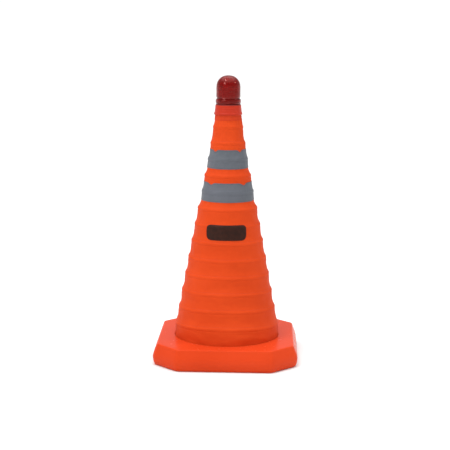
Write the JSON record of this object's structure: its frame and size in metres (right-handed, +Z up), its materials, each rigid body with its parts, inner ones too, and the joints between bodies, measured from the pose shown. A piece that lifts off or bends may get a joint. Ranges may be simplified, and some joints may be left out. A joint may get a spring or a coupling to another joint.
{
  "type": "traffic cone",
  "caption": "Collapsible traffic cone: weighted square base, orange fabric sleeve on hoops with grey reflective bands, red warning light on top",
  "frame": {"origin": "centre of the footprint on the floor", "axes": "+Z up along the cone's axis, -Y is the front with the printed mark, +X to its right"},
  "size_m": [0.36, 0.36, 0.711],
  "materials": {
    "base_moulding": "bright orange moulded plastic, low gloss with a fine grain",
    "collar_moulding": "orange moulded plastic, satin",
    "sleeve_cloth": "coated orange woven cloth, fine weave",
    "reflective_tape": "grey retroreflective sewn tape",
    "hoop_steel": "spring steel strip",
    "spring_steel": "drawn spring wire",
    "screw_steel": "zinc-plated screw",
    "ballast_iron": "rough cast iron",
    "black_plastic": "black moulded plastic",
    "plate_plastic": "black moulded plastic, textured",
    "lens_red": "clear red polycarbonate",
    "gasket_rubber": "black rubber",
    "board_green": "green circuit board",
    "led_clear": "water-clear epoxy",
    "battery_case": "plain sleeved steel cell",
    "contact_metal": "nickel-plated contact"
  },
  "bodies": {
    "root": {"base_shell": "base_moulding", "bottom_plate": "plate_plastic", "sleeve_clamp_ring": "black_plastic", "latch_socket": "black_plastic", "main_spring": "spring_steel", "sleeve_foot": "sleeve_cloth", "base_screw_1": "screw_steel", "base_screw_2": "screw_steel", "base_screw_3": "screw_steel", "base_screw_4": "screw_steel", "ballast_weight_1": "ballast_iron", "ballast_weight_2": "ballast_iron", "ballast_weight_3": "ballast_iron", "ballast_weight_4": "ballast_iron"},
    "hoop_body_01": {"hoop_01": "hoop_steel", "sleeve_bay_01": "sleeve_cloth"},
    "hoop_body_02": {"hoop_02": "hoop_steel", "sleeve_bay_02": "sleeve_cloth"},
    "hoop_body_03": {"hoop_03": "hoop_steel", "sleeve_bay_03": "sleeve_cloth"},
    "hoop_body_04": {"hoop_04": "hoop_steel", "sleeve_bay_04": "sleeve_cloth"},
    "hoop_body_05": {"hoop_05": "hoop_steel", "sleeve_bay_05": "sleeve_cloth"},
    "hoop_body_06": {"hoop_06": "hoop_steel", "sleeve_bay_06": "sleeve_cloth"},
    "hoop_body_07": {"hoop_07": "hoop_steel", "sleeve_bay_07": "sleeve_cloth"},
    "hoop_body_08": {"hoop_08": "hoop_steel", "sleeve_bay_08": "sleeve_cloth", "band_lower_a": "reflective_tape"},
    "hoop_body_09": {"hoop_09": "hoop_steel", "sleeve_bay_09": "sleeve_cloth", "band_lower_b": "reflective_tape"},
    "hoop_body_10": {"hoop_10": "hoop_steel", "sleeve_bay_10": "sleeve_cloth", "band_upper_a": "reflective_tape"},
    "hoop_body_11": {"hoop_11": "hoop_steel", "sleeve_bay_11": "sleeve_cloth", "band_upper_b": "reflective_tape"},
    "hoop_body_12": {"hoop_12": "hoop_steel", "sleeve_bay_12": "sleeve_cloth"},
    "hoop_body_13": {"hoop_13": "hoop_steel"},
    "neck": {"sleeve_neck": "sleeve_cloth", "spring_cap": "black_plastic"},
    "light": {"light_collar": "collar_moulding", "battery_tube": "black_plastic", "battery_1": "battery_case", "battery_2": "battery_case", "contact_plate": "contact_metal", "light_base": "black_plastic", "lens_gasket": "gasket_rubber", "led_board": "board_green", "led_1": "led_clear", "led_2": "led_clear", "led_3": "led_clear"},
    "lens_body": {"lens": "lens_red"}
  },
  "joints": [
    {"name": "collapse", "type": "slide", "parent": "root", "child": "neck", "axis": [0, 0, 1], "range_m": [-0.585, 0], "stiffness_N_per_m": 30, "springref_m": 0.28, "deforming": ["main_spring"]},
    {"name": "hoop_slide_01", "type": "slide", "parent": "root", "child": "hoop_body_01", "axis": [0, 0, 1], "range_m": [-0.0745, 0]},
    {"name": "hoop_slide_02", "type": "slide", "parent": "root", "child": "hoop_body_02", "axis": [0, 0, 1], "range_m": [-0.1178, 0]},
    {"name": "hoop_slide_03", "type": "slide", "parent": "root", "child": "hoop_body_03", "axis": [0, 0, 1], "range_m": [-0.1607, 0]},
    {"name": "hoop_slide_04", "type": "slide", "parent": "root", "child": "hoop_body_04", "axis": [0, 0, 1], "range_m": [-0.2032, 0]},
    {"name": "hoop_slide_05", "type": "slide", "parent": "root", "child": "hoop_body_05", "axis": [0, 0, 1], "range_m": [-0.2453, 0]},
    {"name": "hoop_slide_06", "type": "slide", "parent": "root", "child": "hoop_body_06", "axis": [0, 0, 1], "range_m": [-0.287, 0]},
    {"name": "hoop_slide_07", "type": "slide", "parent": "root", "child": "hoop_body_07", "axis": [0, 0, 1], "range_m": [-0.3283, 0]},
    {"name": "hoop_slide_08", "type": "slide", "parent": "root", "child": "hoop_body_08", "axis": [0, 0, 1], "range_m": [-0.3692, 0]},
    {"name": "hoop_slide_09", "type": "slide", "parent": "root", "child": "hoop_body_09", "axis": [0, 0, 1], "range_m": [-0.4097, 0]},
    {"name": "hoop_slide_10", "type": "slide", "parent": "root", "child": "hoop_body_10", "axis": [0, 0, 1], "range_m": [-0.4498, 0]},
    {"name": "hoop_slide_11", "type": "slide", "parent": "root", "child": "hoop_body_11", "axis": [0, 0, 1], "range_m": [-0.4895, 0]},
    {"name": "hoop_slide_12", "type": "slide", "parent": "root", "child": "hoop_body_12", "axis": [0, 0, 1], "range_m": [-0.5288, 0]},
    {"name": "hoop_slide_13", "type": "slide", "parent": "root", "child": "hoop_body_13", "axis": [0, 0, 1], "range_m": [-0.5677, 0]},
    {"name": "latch_twist", "type": "hinge", "parent": "neck", "child": "light", "pos_m": [0, 0, 0.6139], "axis": [0, 0, 1], "range_deg": [0, 45]},
    {"name": "lens_twist", "type": "hinge", "parent": "light", "child": "lens_body", "pos_m": [0, 0, 0.64], "axis": [0, 0, 1], "range_deg": [0, 60]}
  ],
  "couplings": [
    {"joint": "hoop_slide_01", "follows": "collapse", "ratio": 0.12564},
    {"joint": "hoop_slide_02", "follows": "collapse", "ratio": 0.19966},
    {"joint": "hoop_slide_03", "follows": "collapse", "ratio": 0.27299},
    {"joint": "hoop_slide_04", "follows": "collapse", "ratio": 0.34564},
    {"joint": "hoop_slide_05", "follows": "collapse", "ratio": 0.41761},
    {"joint": "hoop_slide_06", "follows": "collapse", "ratio": 0.48889},
    {"joint": "hoop_slide_07", "follows": "collapse", "ratio": 0.55949},
    {"joint": "hoop_slide_08", "follows": "collapse", "ratio": 0.6294},
    {"joint": "hoop_slide_09", "follows": "collapse", "ratio": 0.69863},
    {"joint": "hoop_slide_10", "follows": "collapse", "ratio": 0.76718},
    {"joint": "hoop_slide_11", "follows": "collapse", "ratio": 0.83504},
    {"joint": "hoop_slide_12", "follows": "collapse", "ratio": 0.90222},
    {"joint": "hoop_slide_13", "follows": "collapse", "ratio": 0.96872}
  ]
}
